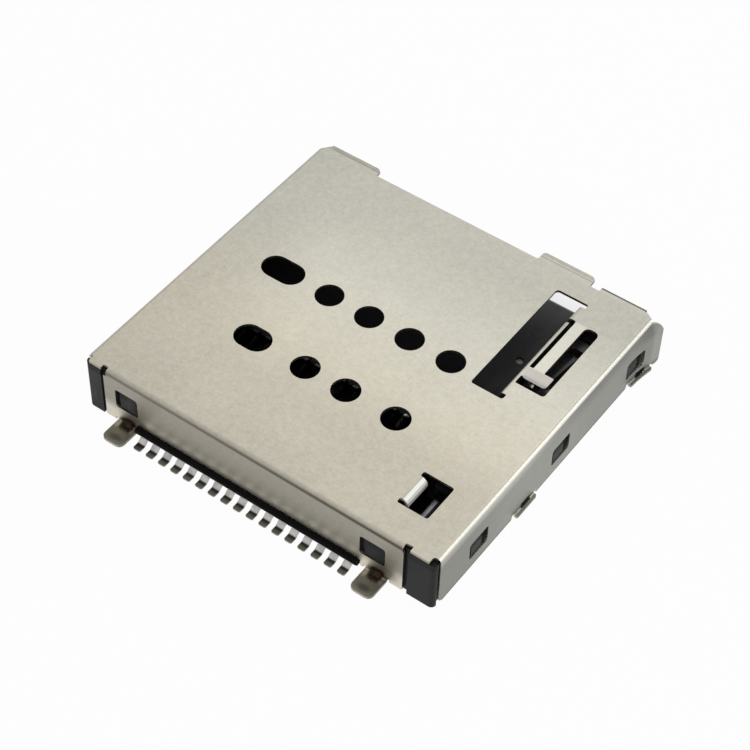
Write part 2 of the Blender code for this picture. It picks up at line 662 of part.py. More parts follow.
def make_housing(material):
    """A moulded tray: floor, front wall with corner columns, rails, rib and link block."""
    housing = make_solid("housing", make_floor(), material)

    front = bmesh.new()
    box(front, *INSIDE, FRONT_FACE, FRONT_WALL_BACK, FLOOR_TOP / 2, HOUSING_TOP)
    combine(housing, "UNION", make_solid("add_front_wall", front))
    recess = bmesh.new()
    box(recess, FLANGE[0] - COLUMN_GAPS[0], FLANGE[1] + COLUMN_GAPS[1], -1, FRONT_FACE,
        -1, HEIGHT + 1)
    frame = make_solid("add_front_frame", front_frame())
    combine(frame, "DIFFERENCE", make_solid("cut_flange_recess", recess))
    combine(housing, "UNION", frame)
    combine(housing, "UNION", make_solid("add_sill", front_sill()))
    combine(housing, "UNION", make_solid("add_skirt", skirt_and_nubs()))

    rails = bmesh.new()
    near, root = FRONT_WALL_BACK - 0.2, FLOOR_TOP / 2
    box(rails, INSIDE[0], LEFT_RAIL, near, RAIL_REAR, root, LEFT_RAIL_TOP)
    box(rails, BAY_RIGHT, INSIDE[1], near, RAIL_REAR, root, RIGHT_RAIL_TOP)
    box(rails, *RIB, RIB_FRONT, RAIL_REAR, root, RIB_TOP)
    combine(housing, "UNION", make_solid("add_rails", rails))
    block = bmesh.new()
    box(block, RIB[1] - SEAT_GAP, BAY_RIGHT + 0.2, *LINK_BLOCK, FLOOR_TOP / 2, LINK_BLOCK_TOP)
    combine(housing, "UNION", make_solid("add_link_block", block))
    combine(housing, "UNION", make_solid("add_side_bosses", side_bosses()))
    combine(housing, "UNION", make_solid("add_front_bosses", front_bosses()))
    post = bmesh.new()
    prism(post, circle(SPRING_X, SPRING_Z, POST_DIAMETER, 16), FRONT_WALL_BACK - 0.3,
          FRONT_WALL_BACK + POST_LENGTH, ALONG_Y)
    combine(housing, "UNION", make_solid("add_spring_post", post))

    grooves = contact_channels(GROOVE_FLOOR, FLOOR_TOP + 1, FRONT_WALL_BACK, GROOVE_REAR)
    combine(housing, "DIFFERENCE", make_solid("cut_contact_grooves", grooves))
    run_top = CONTACT_RUN_Z + CONTACT_SHEET / 2 + SEAT_GAP
    mouths = contact_channels(GROOVE_FLOOR, run_top, -1, FRONT_WALL_BACK + 0.5)
    combine(housing, "DIFFERENCE", make_solid("cut_contact_mouths", mouths))
    holes = bmesh.new()
    prism(holes, circle(*EJECTOR_HOLE, EJECTOR_HOLE_DIAMETER, 16), -1, FLOOR_TOP + 1)
    prism(holes, circle(*PIVOT, WIRE + 4 * SEAT_GAP, 16), PIVOT_HOLE_FLOOR, LINK_BLOCK_TOP + 1)
    prism(holes, circle(GUIDE_X, GUIDE_Z, GUIDE_DIAMETER + 2 * SEAT_GAP, 16),
          COLUMN_BACK + 0.3, FRONT_WALL_BACK + 1, ALONG_Y)
    combine(housing, "DIFFERENCE", make_solid("cut_holes", holes))
    pocket = bmesh.new()
    prism(pocket, circle(*EJECTOR_HOLE, EJECTOR_POCKET_DIAMETER, 24), -1, FLOOR_TOP - EJECTOR_WEB)
    combine(housing, "DIFFERENCE", make_solid("cut_pocket", pocket))
    return housing


# The contacts

BUMP_RADIUS = 0.8


def contact_path():
    """Middle line of one contact in the YZ plane, from the solder toe to the card end, with
    the width at each point."""
    sole = CONTACT_SHEET / 2
    peak = CONTACT_PEAK - sole
    wide, slim = CONTACT_WIDTH, CONTACT_TIP_WIDTH
    toe = -TAIL_REACH
    heel = SILL_FRONT - (CONTACT_RUN_Z - sole) - 2 * SEAT_GAP
    root = CONTACT_PEAK_Y - 10
    path = [(toe, sole, wide * 0.7), (toe + 0.1, sole, wide), (heel - 0.05, sole, wide),
            (heel + 0.05, sole + 0.06, wide), (SILL_FRONT - 0.12, CONTACT_RUN_Z - 0.04, wide),
            (SILL_FRONT, CONTACT_RUN_Z, wide), (root, CONTACT_RUN_Z, wide),
            (root + 0.5, CONTACT_RUN_Z + 0.08, wide)]
    for k in range(6):
        angle = math.radians(106 - 27 * k)
        path.append((CONTACT_PEAK_Y + BUMP_RADIUS * math.cos(angle),
                     peak - BUMP_RADIUS + BUMP_RADIUS * math.sin(angle), slim))
    return path


def make_contact(name, x, material):
    drawing = bmesh.new()
    path = contact_path()
    half = CONTACT_SHEET / 2
    rings = []
    for i, (y, z, width) in enumerate(path):
        before = Vector(path[max(i - 1, 0)][:2])
        after = Vector(path[min(i + 1, len(path) - 1)][:2])
        here = Vector((y, z))
        into = (here - before).normalized() if i else (after - here).normalized()
        out = (after - here).normalized() if i < len(path) - 1 else into
        mitre = Vector((-(into + out).y, (into + out).x)).normalized()
        mitre *= half / max(mitre.dot(Vector((-into.y, into.x))), 0.5)
        low, high = here - mitre, here + mitre
        rings.append([drawing.verts.new((x + side * width / 2, p.x, p.y))
                      for p, side in ((low, -1), (low, 1), (high, 1), (high, -1))])
    for a, b in zip(rings, rings[1:]):
        for k in range(4):
            drawing.faces.new((a[k - 1], a[k], b[k], b[k - 1]))
    drawing.faces.new(rings[0])
    drawing.faces.new(rings[-1])
    return make_solid(name, drawing, material)


# The push-push drive

SLIDER_SIDES = (DIVIDER_X + 0.65, BAY_RIGHT - 0.25)
ARM_SIDES = (DIVIDER_X + 0.85, DIVIDER_X + 2.85)
CARD_FOOT_X = LAST_CONTACT_X + CONTACT_WIDTH / 2 + 0.24
CARD_FOOT = (SLIDER_FRONT, SLIDER_FRONT + 1.5)
CARD_FOOT_LEVELS = (1.7, 3.2)


def track_outline():
    """Outer edge of the heart-shaped cam track. Its left flank is the path that the follower
    takes as the card goes in."""
    x, y = PIVOT[0], PIVOT[1] - LINK_LENGTH
    half = TRACK_WIDTH / 2
    top = x + LINK_SWING
    return outline([(x - half, y - half, half - TINY), (x + half + 0.2, y - half, 0.3),
                    (top + 1.7, y + 2.6, 0.4), (top + 1.7, y + 6.9, 0.4),
                    (top - half, y + 6.9, 0.4), (top - half, y + TRAVEL), (x - half, y)])


def island_outline():
    """The heart itself: the follower drops into the notch at its far end and locks the card."""
    x, y = PIVOT[0], PIVOT[1] - LINK_LENGTH
    half = TRACK_WIDTH / 2
    return [Vector((x + half + 0.25, y + 1.9)), Vector((x + half + 0.62, y + 2.3)),
            Vector((x + half + 1.06, y + 6.1)), Vector((x + half + 0.84, y + 5.7)),
            Vector((x + half + 0.66, y + 6.1))]


def make_slider(material):
    left, right = SLIDER_SIDES
    body = bmesh.new()
    prism(body, outline([(ARM_SIDES[0], SLIDER_FRONT, 0.3), (ARM_SIDES[1], SLIDER_FRONT, 0.3),
                         (ARM_SIDES[1], SHOULDER_Y), (right, SHOULDER_Y, 0.4),
                         (right, SLIDER_REAR, 0.4), (left, SLIDER_REAR, 0.4),
                         (left, SHOULDER_Y), (ARM_SIDES[0], SHOULDER_Y)]),
          SLIDER_BOTTOM, SLIDER_TOP)
    slider = make_solid("slider", body, material)
    foot = bmesh.new()
    rooted = ARM_SIDES[0] + 0.5
    prism(foot, outline([(CARD_FOOT_X, CARD_FOOT[0], 0.3), (rooted, CARD_FOOT[0]),
                         (rooted, CARD_FOOT[1]), (CARD_FOOT_X, CARD_FOOT[1], 0.2)]),
          *CARD_FOOT_LEVELS)
    combine(slider, "UNION", make_solid("add_card_foot", foot))
    post = bmesh.new()
    prism(post, circle(SPRING_X, SPRING_Z, POST_DIAMETER, 16), SHOULDER_Y - POST_LENGTH,
          SHOULDER_Y + 0.5, ALONG_Y)
    combine(slider, "UNION", make_solid("add_slider_post", post))
    track = bmesh.new()
    prism(track, track_outline(), TRACK_FLOOR, SLIDER_TOP + 1)
    combine(slider, "DIFFERENCE", make_solid("cut_track", track))
    island = bmesh.new()
    prism(island, island_outline(), TRACK_FLOOR - 0.2, SLIDER_TOP)
    combine(slider, "UNION", make_solid("add_island", island))
    bore = bmesh.new()
    prism(bore, circle(GUIDE_X, GUIDE_Z, GUIDE_DIAMETER + 4 * SEAT_GAP, 16), SLIDER_FRONT - 1,
          SLIDER_FRONT + TRAVEL + 0.5, ALONG_Y)
    combine(slider, "DIFFERENCE", make_solid("cut_bore", bore))
    return slider


def make_wire(name, points, diameter, pivot, material, detail):
    """A round wire along a list of points, with closed ends."""
    curve = bpy.data.curves.new(name, "CURVE")
    curve.dimensions = "3D"
    curve.bevel_depth = diameter / 2 * MM
    curve.bevel_resolution = detail
    curve.use_fill_caps = True
    spline = curve.splines.new("POLY")
    spline.points.add(len(points) - 1)
    for knot, point in zip(spline.points, points):
        knot.co = (*((Vector(point) - Vector(pivot)) * MM), 1)
    return place(name, curve, material, pivot)


def make_link(material):
    """The wire link: its pivot end turns in the housing's block, and its other end is the
    follower that runs in the cam track."""
    x, pivot_y = PIVOT
    follower_y = pivot_y - LINK_LENGTH
    corner = 0.5
    points = [(x, pivot_y, PIVOT_HOLE_FLOOR + 0.2)]
    for k in range(6):
        angle = math.radians(90 * k / 5)
        points.append((x, pivot_y - corner + corner * math.cos(angle),
                       LINK_Z - corner + corner * math.sin(angle)))
    for k in range(6):
        angle = math.radians(90 * k / 5)
        points.append((x, follower_y + corner - corner * math.sin(angle),
                       LINK_Z - corner + corner * math.cos(angle)))
    points.append((x, follower_y, TRACK_FLOOR + 0.1))
    return make_wire("cam_link", points, WIRE, (x, pivot_y, LINK_Z), material, 2)


def make_spring(material):
    """A coil with closed ends, held between the front wall and the slider's shoulder."""
    radius = (SPRING_DIAMETER - SPRING_WIRE) / 2
    front = FRONT_WALL_BACK + SPRING_WIRE / 2 + SEAT_GAP
    rear = SHOULDER_Y - SPRING_WIRE / 2 - SEAT_GAP
    closed = SPRING_WIRE * 1.15
    per_turn = 12
    points = []
    for k in range(SPRING_TURNS * per_turn + 1):
        turn = k / per_turn
        if turn <= 1:
            y = front + closed * turn
        elif turn >= SPRING_TURNS - 1:
            y = rear - closed * (SPRING_TURNS - turn)
        else:
            open_part = (turn - 1) / (SPRING_TURNS - 2)
            y = front + closed + (rear - front - 2 * closed) * open_part
        angle = math.tau * turn
        points.append((SPRING_X + radius * math.cos(angle), y,
                       SPRING_Z + radius * math.sin(angle)))
    return make_wire("return_spring", points, SPRING_WIRE, (SPRING_X, front, SPRING_Z),
                     material, 1)


def make_guide_pin(material):
    drawing = bmesh.new()
    radius = GUIDE_DIAMETER / 2
    seat = COLUMN_BACK + 0.3 + SEAT_GAP
    profile = [Vector((0, seat)), Vector((radius, seat)), Vector((radius, GUIDE_TIP - radius))]
    for k in range(1, 5):
        angle = math.radians(90 * k / 4)
        profile.append(Vector((radius * math.cos(angle) if k < 4 else 0,
                               GUIDE_TIP - radius + radius * math.sin(angle))))
    knots = [drawing.verts.new((GUIDE_X + p.x, p.y, GUIDE_Z)) for p in profile]
    rail = [drawing.edges.new(pair) for pair in zip(knots, knots[1:])]
    bmesh.ops.spin(drawing, geom=rail, cent=(GUIDE_X, 0, GUIDE_Z), axis=(0, 1, 0),
                   angle=math.tau, steps=16, use_merge=True)
    bmesh.ops.remove_doubles(drawing, verts=drawing.verts, dist=TINY)
    return make_solid("guide_pin", drawing, material, smooth=40)


clear_scene()
ROOT = make_root()
make_cover(make_material("cover_steel", (0.60, 0.58, 0.53), 0.32, 1.0))
make_housing(make_material("housing_plastic", (0.035, 0.035, 0.037), 0.5, 0.0))
contact_tin = make_material("contact_tin", (0.62, 0.61, 0.58), 0.3, 1.0)
for number in range(CONTACTS):
    make_contact(f"contact_{number + 1:02d}", contact_x(number), contact_tin)
make_slider(make_material("slider_plastic", (0.05, 0.05, 0.052), 0.45, 0.0))
make_link(make_material("link_steel", (0.66, 0.65, 0.62), 0.25, 1.0))
make_spring(make_material("spring_steel", (0.5, 0.49, 0.47), 0.3, 1.0))
make_guide_pin(make_material("pin_steel", (0.6, 0.59, 0.57), 0.25, 1.0))
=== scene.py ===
# %% [markdown]
# # A game card slot, seen from its pins
#
# The real object is a small socket, about 40 mm wide, that is soldered to a board. A steel
# cover is folded over a black moulded tray, and 17 spring strips run through the tray's front.
# The shapes come ready made in the fixed frame, so this lesson is about light, metal and
# plastic: how a few plain finishes make thin folded sheet look like thin folded sheet.

# %% Load the frame and measure it
import math

import bmesh
import bpy
from mathutils import Matrix, Vector


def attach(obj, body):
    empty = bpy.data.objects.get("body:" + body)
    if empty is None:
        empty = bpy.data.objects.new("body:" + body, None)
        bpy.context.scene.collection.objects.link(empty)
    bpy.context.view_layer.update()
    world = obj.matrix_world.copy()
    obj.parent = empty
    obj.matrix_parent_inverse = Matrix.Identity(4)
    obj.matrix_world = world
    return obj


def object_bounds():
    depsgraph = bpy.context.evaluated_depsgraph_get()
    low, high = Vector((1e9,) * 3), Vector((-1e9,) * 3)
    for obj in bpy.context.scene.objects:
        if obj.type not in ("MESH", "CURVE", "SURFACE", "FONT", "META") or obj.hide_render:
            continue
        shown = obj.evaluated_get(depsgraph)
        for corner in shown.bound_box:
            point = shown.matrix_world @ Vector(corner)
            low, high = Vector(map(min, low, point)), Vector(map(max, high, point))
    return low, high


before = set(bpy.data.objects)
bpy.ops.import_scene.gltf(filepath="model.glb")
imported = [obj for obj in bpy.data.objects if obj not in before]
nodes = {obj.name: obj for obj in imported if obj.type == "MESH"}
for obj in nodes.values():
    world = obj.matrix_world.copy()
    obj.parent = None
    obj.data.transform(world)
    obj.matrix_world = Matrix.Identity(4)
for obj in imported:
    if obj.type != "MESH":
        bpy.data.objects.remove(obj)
box_at_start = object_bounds()
scene = bpy.context.scene
scene.view_settings.view_transform = "Standard"
MM = 0.001
CORNER = Vector((-20.444, -17.775, 0))
print("nodes:", len(nodes), "box in mm:",
      [[round(value / MM, 2) for value in corner] for corner in box_at_start])

# %% [markdown]
# ## The camera
#
# The photograph looks down on the right front corner. Its viewing angle was found from the
# corners and vents of the cover, whose places on the real part are known. The same numbers go
# in here as an aim point, a distance and three turns, because those can be read and changed one
# at a time. A long lens keeps the far edge nearly as wide as the near one, as the photograph does.

# %% Place the camera
AIM = Vector((1.095, -0.588, 3.25)) * MM
DISTANCE = 200.43 * MM
AZIMUTH = math.radians(34.569)
ELEVATION = math.radians(48.414)
ROLL = math.radians(1.892)
SENSOR_MM = 36
FOCAL_MM = 100.374

lens = bpy.data.cameras.new("photo_camera")
lens.sensor_width = SENSOR_MM
lens.lens = FOCAL_MM
lens.clip_start = 10 * MM
camera = bpy.data.objects.new("photo_camera", lens)
scene.collection.objects.link(camera)
turn = Matrix.Rotation(AZIMUTH, 3, "Z") @ Matrix.Rotation(math.pi / 2 - ELEVATION, 3, "X")
turn = turn @ Matrix.Rotation(ROLL, 3, "Z")
camera.location = AIM + turn @ Vector((0, 0, DISTANCE))
camera.rotation_euler = turn.to_euler()
scene.camera = camera
print("camera at", [round(value / MM, 1) for value in camera.location])

# %% [markdown]
# ## Shader sums written as Python
#
# A material in Blender is a net of small nodes, and a sum such as "one minus the mask" takes a
# node of its own. Wiring them by hand is slow to write and hard to read. The class below wraps
# one socket and lets Python's own signs add the Math nodes, so a pattern reads like a formula.
# Colours go through Mix nodes instead, because a Math node would turn a colour grey.

# %% A socket that can be added, scaled and compared
class Value:
    """One output of a node, which Python's signs turn into further nodes."""

    def __init__(self, finish, socket):
        self.finish, self.socket = finish, socket

    def sum_with(self, operation, other, swapped=False):
        pair = (other, self) if swapped else (self, other)
        return self.finish.node("Math", {"operation": operation}, {0: pair[0], 1: pair[1]})

    def __add__(self, other):
        return self.sum_with("ADD", other)

    def __radd__(self, other):
        return self.sum_with("ADD", other, True)

    def __sub__(self, other):
        return self.sum_with("SUBTRACT", other)

    def __rsub__(self, other):
        return self.sum_with("SUBTRACT", other, True)

    def __mul__(self, other):
        return self.sum_with("MULTIPLY", other)

    def __rmul__(self, other):
        return self.sum_with("MULTIPLY", other, True)

    def __gt__(self, other):
        return self.sum_with("GREATER_THAN", other)

    def __lt__(self, other):
        return self.sum_with("LESS_THAN", other)

    def __abs__(self):
        return self.finish.node("Math", {"operation": "ABSOLUTE"}, {0: self})

    def ramp(self, low, high):
        """0 below low, 1 above high, and a smooth step between them."""
        return self.finish.node("MapRange", {"interpolation_type": "SMOOTHSTEP"},
                                {"Value": self, "From Min": low, "From Max": high})


print("a value knows:", [name for name in vars(Value) if callable(getattr(Value, name))])

# %% [markdown]
# ## One class for a finish
#
# A finish is one material with the sockets that its pattern starts from: the place of each point
# in millimetres, counted from the corner of the cover, and the way the surface faces there. One
# method adds any node and wires it up. The others are short names for patterns that come often:
# a noise, a soft spot, a band between two values and a blend of two colours.

# %% A material and the nodes of its pattern
class Finish:
    """One material, and the nodes that its pattern is made of."""

    def __init__(self, name, **constants):
        self.material = bpy.data.materials.new(name)
        self.material.use_nodes = True
        self.tree = self.material.node_tree
        self.shader = self.tree.nodes["Principled BSDF"]
        for socket, value in constants.items():
            self.shader.inputs[socket.replace("_", " ")].default_value = value
        place = self.node("TexCoord", output="Object")
        place = self.node("VectorMath", {"operation": "SCALE"}, {0: place, "Scale": 1 / MM})
        self.place = self.node("VectorMath", {"operation": "SUBTRACT"}, {0: place, 1: CORNER})
        self.x, self.y, self.z = self.parts(self.place)
        self.facing = self.parts(self.node("NewGeometry", output="True Normal"))

    def node(self, kind, settings=None, inputs=None, output=0):
        """Adds a node of that kind, sets it up, feeds its sockets and wraps one output."""
        made = self.tree.nodes.new("ShaderNode" + kind)
        for key, value in (settings or {}).items():
            setattr(made, key, value)
        for key, value in (inputs or {}).items():
            if isinstance(value, Value):
                self.tree.links.new(value.socket, made.inputs[key])
            else:
                made.inputs[key].default_value = value
        return Value(self, made.outputs[output])

    def parts(self, vector):
        split = self.node("SeparateXYZ", None, {0: vector})
        return [Value(self, socket) for socket in split.socket.node.outputs]

    def stretched(self, x, y, z):
        return self.node("VectorMath", {"operation": "MULTIPLY"}, {0: self.place, 1: (x, y, z)})

    def noise(self, scale, detail=2.0, along=(1, 1, 1), roughness=0.5):
        return self.node("TexNoise", None, {"Vector": self.stretched(*along), "Scale": scale,
                                            "Detail": detail, "Roughness": roughness})

    def spot(self, centre, size, stretch=(1, 1, 1)):
        """1 near a point given in millimetres, falling smoothly to 0 at the distance size."""
        away = self.node("VectorMath", {"operation": "SUBTRACT"}, {0: self.place, 1: centre})
        away = self.node("VectorMath", {"operation": "DIVIDE"}, {0: away, 1: stretch})
        reach = self.node("VectorMath", {"operation": "LENGTH"}, {0: away}, output="Value")
        return 1 - reach.ramp(0.25 * size, size)

    def band(self, along, low, high, soft=0.05):
        """1 where a coordinate lies between two values, with edges that fade."""
        return along.ramp(low - soft, low + soft) * (1 - along.ramp(high - soft, high + soft))

    def blend(self, factor, first, second, mode="MIX"):
        """From the first colour to the second, or to their product, as the factor goes to 1."""
        pair = [one if isinstance(one, Value) else (*one, 1.0) for one in (first, second)]
        return self.node("Mix", {"data_type": "RGBA", "blend_type": mode},
                         {0: factor, 6: pair[0], 7: pair[1]}, output=2)

    def feed(self, **links):
        for socket, value in links.items():
            self.tree.links.new(value.socket, self.shader.inputs[socket.replace("_", " ")])

    def bump(self, height, depth_mm, strength=1.0):
        normal = self.node("Bump", None, {"Height": height, "Distance": depth_mm * MM,
                                          "Strength": strength}, output="Normal")
        self.feed(Normal=normal)


print("a finish has:", [name for name in vars(Finish) if callable(getattr(Finish, name))])

# %% [markdown]
# ## White all round
#
# The photograph has a plain white ground. White could come from strong lamps, but that would
# bleach the metal too. Here the floor and the world simply give white to the rays that look at
# them, straight from the camera or by way of a shiny surface, and light the part at a plain
# level otherwise. The floor keeps a little of its own shading, so the part's shadow still shows.
# Under the mouth and just behind it the white is painted a little darker, as a stand-in for the
# soft contact shadow there.

# %% White floor
FLOOR_WHITE = 0.965
FLOOR_HALF_WIDTH = 1.5
FLOOR_DROP = 0.02 * MM
PAPER_GREY = (0.86, 0.86, 0.86, 1)
MOUTH_SHADE = (0.4, 0.4, 0.4)


def seen_rays(tree):
    """1 for rays that look at a thing directly, in a reflection or through something clear."""
    path = tree.nodes.new("ShaderNodeLightPath")
    total = path.outputs["Is Camera Ray"]
    for name in ("Is Glossy Ray", "Is Transmission Ray"):
        either = tree.nodes.new("ShaderNodeMath")
        either.operation = "MAXIMUM"
        tree.links.new(total, either.inputs[0])
        tree.links.new(path.outputs[name], either.inputs[1])
        total = either.outputs[0]
    return total


floor_mesh = bmesh.new()
bmesh.ops.create_grid(floor_mesh, x_segments=1, y_segments=1, size=FLOOR_HALF_WIDTH)
floor_data = bpy.data.meshes.new("white_table")
floor_mesh.to_mesh(floor_data)
floor_mesh.free()
table = bpy.data.objects.new("white_table", floor_data)
table.location.z = box_at_start[0][2] - FLOOR_DROP
scene.collection.objects.link(table)

paper = Finish("white_paper")
behind = paper.x.ramp(-1, 4) * (1 - paper.x.ramp(36, 41))
behind = behind * paper.y.ramp(26, 34) * (1 - paper.y.ramp(38, 42.5))
white = paper.blend(behind * 0.3, (1, 1, 1), MOUTH_SHADE)
share = Value(paper, seen_rays(paper.tree)) * FLOOR_WHITE
matt = paper.node("BsdfDiffuse", None, {"Color": PAPER_GREY})
glow = paper.node("Emission", None, {"Color": white, "Strength": 1.0})
either = paper.node("MixShader", None, {0: share, 1: matt, 2: glow})
paper.tree.nodes.remove(paper.shader)
paper.tree.links.new(either.socket, paper.tree.nodes["Material Output"].inputs[0])
table.data.materials.append(paper.material)
print("floor at", round(table.location.z / MM, 3), "mm")

# %% [markdown]
# ## The same for the world
#
# It gives full white to the rays that look at it, and lights the
# part at a lower level.

# %% White world
SKY_LIGHT = 0.55
world = bpy.data.worlds.new("white_room")
world.use_nodes = True
scene.world = world
net = world.node_tree
net.nodes.clear()
level = net.nodes.new("ShaderNodeMapRange")
level.inputs["To Min"].default_value = SKY_LIGHT
level.inputs["To Max"].default_value = 1.0
net.links.new(seen_rays(net), level.inputs["Value"])
air = net.nodes.new("ShaderNodeBackground")
air.inputs["Color"].default_value = (1, 1, 1, 1)
net.links.new(level.outputs[0], air.inputs["Strength"])
net.links.new(air.outputs[0], net.nodes.new("ShaderNodeOutputWorld").inputs[0])
print("world nodes:", len(net.nodes))

# %% [markdown]
# ## Lamps
#
# Satin metal shows a lamp where the lamp's mirror image would be, spread wide. The cover's top
# looks bright in the photograph and its front and side look dull, so one wide lamp hangs behind the
# part on the far side, where the top mirrors it and the front and side don't. A second weak lamp at
# the front only lifts the black plastic. A third, small and low on the right, draws the bright line
# on the bend of the right wall, together with a painted highlight in the colour of that bend.

# %% Hang the lamps
LAMP_DISTANCE = 0.6


def soft_lamp(name, azimuth, elevation, width, watts):
    """A square lamp that looks at the part from a direction given in degrees."""
    light = bpy.data.lights.new(name, "AREA")
    light.shape, light.size, light.energy = "SQUARE", width, watts
    lamp = bpy.data.objects.new(name, light)
    east, up = math.radians(azimuth), math.radians(elevation)
    away = Vector((math.sin(east) * math.cos(up), -math.cos(east) * math.cos(up), math.sin(up)))
    lamp.location = AIM + away * LAMP_DISTANCE
    lamp.rotation_euler = away.to_track_quat("Z", "Y").to_euler()
    scene.collection.objects.link(lamp)


soft_lamp("far_softbox", azimuth=214, elevation=52, width=0.42, watts=0.35)
soft_lamp("near_fill", azimuth=60, elevation=35, width=0.3, watts=0.15)
soft_lamp("bend_light", azimuth=126, elevation=22, width=0.16, watts=0.5)

# %% [markdown]
# ## Rolled steel for the cover
#
# The cover is stamped from rolled stainless strip. Close up it is not polished: the rollers
# leave a fine satin tooth, and faint lines along the strip. Reflected light breaks up in that
# tooth, so the metal looks pale and even. The tooth goes into bump and roughness, and the colour
# changes only a little.

# %% Patterns of the steel
steel = Finish("cover_steel_rolled", Metallic=1.0)
x, y, z = steel.x, steel.y, steel.z
aside, upward = abs(steel.facing[0]), abs(steel.facing[2])
tooth = steel.noise(3.4, detail=4, roughness=0.62)
cloud = steel.noise(0.16, detail=2)
mottle = steel.noise(1.5, detail=3, roughness=0.6)
lines = steel.noise(2.2, detail=2, along=(1, 0.06, 1))
print("nodes for the patterns:", len(steel.tree.nodes))

# %% [markdown]
# ## Colour of the top
#
# The top is warmer towards the pins and cooler towards the mouth. Its brightness is painted: a
# painted highlight across the middle, painted shade towards the left edge and near the pins, and a
# little painted light at the mouth. The mottle and the tooth only shift it a little.

# %% The top plate
WARM_STEEL = (0.485, 0.448, 0.368)
COOL_STEEL = (0.468, 0.456, 0.396)
PALE_STEEL = (0.468, 0.464, 0.396)

# Painted light on the top: a painted highlight band across the middle, painted shade near the pins,
# painted light at the mouth.
painted_highlight = y.ramp(7, 16) * (1 - y.ramp(22, 34)) * x.ramp(1, 14)
pin_side_shade = (1 - y.ramp(1, 6)) * (1 - x.ramp(22, 32))
mouth_side_light = y.ramp(36.6, 37.4) * x.ramp(20, 28)
shade = 0.8 + 0.05 * x.ramp(1, 12) + 0.14 * painted_highlight + 0.05 * painted_highlight * x.ramp(26, 38)
shade = shade - 0.05 * pin_side_shade + 0.24 * (mottle - 0.5) + 0.06 * mouth_side_light
top = steel.blend(y.ramp(12, 27), WARM_STEEL, COOL_STEEL)
top = steel.blend(0.35 * steel.noise(0.8).ramp(0.35, 0.65), top, PALE_STEEL)
top = steel.blend(1.0, top, shade + 0.34 * (tooth - 0.5) + 0.1 * (cloud - 0.5), "MULTIPLY")
print("nodes with the top:", len(steel.tree.nodes))

# %% [markdown]
# ## Colour of the sides
#
# The front flange and the side walls get a darker colour than the top, painted shade for upright
# faces in this light. The flange gets painted light along its lower edge. The right wall gets
# painted light and shade along its length: a pale band under the bend towards the front, a darker
# band further back and a lighter end at the mouth.

# %% The front flange and the walls
FLANGE_LOW = (0.66, 0.62, 0.52)
FLANGE_MIDDLE = (0.315, 0.296, 0.246)
FLANGE_HIGH = (0.335, 0.315, 0.262)
WALL_GREY = (0.252, 0.252, 0.226)

# Painted shade on the upright faces, and painted light low on the flange.
front = steel.blend(z.ramp(2.6, 5.6), FLANGE_MIDDLE, FLANGE_HIGH)
front = steel.blend(z.ramp(1.2, 2.9), FLANGE_LOW, front)
sides = steel.blend(aside.ramp(0.3, 0.8), front, WALL_GREY)
# Painted light and shade along the right wall.
wall_light_and_shade = 0.14 * steel.band(y, 10, 24, 4) - 0.03 - 0.1 * (1 - y.ramp(4, 12))
wall_light_and_shade = wall_light_and_shade + 0.3 * y.ramp(36.2, 37) - 0.3 * z.ramp(3.8, 6.0) * y.ramp(15, 26)
wall_light_and_shade = wall_light_and_shade + 0.75 * z.ramp(5.0, 6.1) * (1 - y.ramp(8, 24))
grain = 0.2 * (mottle - 0.5) + 0.22 * (tooth - 0.5) + 0.2 * (lines - 0.5)
sides = steel.blend(1.0, sides, 1.01 + wall_light_and_shade * (y > 0.6) + grain, "MULTIPLY")
colour = steel.blend(1 - upward.ramp(0.35, 0.75), top, sides)
print("nodes with the sides:", len(steel.tree.nodes))

# %% [markdown]
# ## Bent and cut edges
#
# The front bend gets a painted dark reflection, and the right bend a painted highlight as a bright
# line. Where a cut shows the sheet's thickness, the metal is torn and grey. A painted dark line of
# shade marks the edge at the mouth, and it is wider and stronger over the slider bay.

# %% Bends, sheared edges and the line at the mouth
BEND_DARK_REFLECTION = (0.07, 0.062, 0.05)
BEND_HIGHLIGHT = (0.82, 0.8, 0.72)
TORN_GREY = (0.2, 0.185, 0.16)
MOUTH_SHADE_LINE = (0.08, 0.075, 0.06)

# Painted dark reflection along the front bend.
front_bend = steel.band(z, 5.92, 6.28, 0.14) * (1 - y.ramp(0.3, 0.5)) * steel.band(x, 2.6, 37, 0.2)
colour = steel.blend(front_bend * (0.6 + 0.35 * x.ramp(4, 36)), colour, BEND_DARK_REFLECTION)
side_walls = steel.band(x, -1, 0.46) + (x > 40.0)
sheared = (1 - upward.ramp(0.25, 0.35)) * (z > 6.19) * (1 - side_walls) * (y > 0.5)
colour = steel.blend(sheared * 0.6, colour, TORN_GREY)
# Painted shade: a dark line along the edge at the mouth.
dark_mouth_line = 0.8 * steel.band(y, 37.24, 37.75, 0.06) * (x > 34) + 0.35 * steel.band(y, 37.42, 37.58)
colour = steel.blend(dark_mouth_line * (z > 5.9), colour, MOUTH_SHADE_LINE)
right_bend = x.ramp(39.9, 40.1) * z.ramp(5.9, 6.1)
# Painted highlight: a bright line on the right bend.
painted_bend_line = x.ramp(39.95, 40.1) * steel.band(z, 6.22, 6.46, 0.05)
colour = steel.blend(painted_bend_line * 0.75, colour, BEND_HIGHLIGHT)
print("nodes with the edges:", len(steel.tree.nodes))

# %% [markdown]
# ## Solder and flux on the tabs
#
# The two front tabs are soldered to the board, and flux has burnt onto them. Each tab gets the same
# four marks: a darker patch on the flange above it, a grey patch on its sole, a brown crust where
# it bends, and two paler legs. A noise breaks up the edge of the crust.

# %% Stains of the soldering tabs
TAB_LEFT_EDGES = (3.8, 33.0)
SOLE_GREY = (0.2, 0.19, 0.15)
DARK_ABOVE_TAB = (0.05, 0.044, 0.036)
SOLDER_GREY = (0.05, 0.055, 0.045)
BURNT_FLUX = (0.05, 0.033, 0.018)
PALE_LEG = (0.5, 0.45, 0.37)

